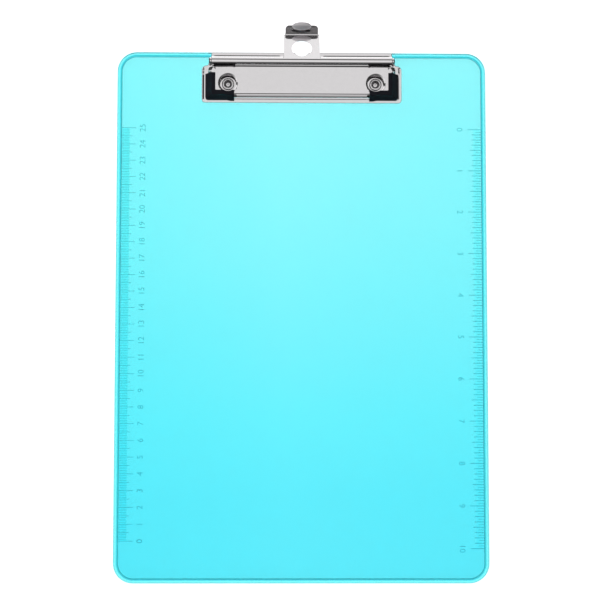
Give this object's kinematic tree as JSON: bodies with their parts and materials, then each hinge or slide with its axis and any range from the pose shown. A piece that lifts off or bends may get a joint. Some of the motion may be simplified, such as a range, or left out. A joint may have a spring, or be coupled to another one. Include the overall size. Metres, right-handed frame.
{
  "type": "clipboard",
  "caption": "Translucent plastic clipboard with a raised rim, moulded rulers and a low sprung steel clip with rubber corner grips and a hanging hole in its lever.",
  "frame": {"origin": "on the surface the clipboard lies on, under the middle of its bounding box", "axes": "+Y up the board towards the clip, +Z out of the writing face, +X to the right with the clip at the top"},
  "size_m": [0.225, 0.3406, 0.0108],
  "materials": {
    "board_plastic": "translucent aqua polystyrene, smooth with a soft gloss",
    "clip_steel": "bright chrome plate",
    "plated_steel": "bright nickel plate",
    "spring_steel": "oiled spring wire",
    "grip_rubber": "matt black moulded rubber"
  },
  "bodies": {
    "board_and_base": {"board": "board_plastic", "clip_base_plate": "clip_steel", "hinge_pin": "plated_steel", "torsion_spring_left": "spring_steel", "torsion_spring_right": "spring_steel", "rivet_left": "plated_steel", "rivet_right": "plated_steel", "rivet_washer_left": "plated_steel", "rivet_washer_right": "plated_steel"},
    "jaw": {"clip_jaw": "clip_steel", "corner_grip_left": "grip_rubber", "corner_grip_right": "grip_rubber"}
  },
  "joints": [
    {"name": "jaw_hinge", "type": "hinge", "parent": "board_and_base", "child": "jaw", "pos_m": [0, 0.14563, 0.0081], "axis": [-1, 0, 0], "range_deg": [0, 17], "stiffness_Nm_per_rad": 0.5, "springref_deg": -28.65, "deforming": ["torsion_spring_left", "torsion_spring_right"]}
  ]
}
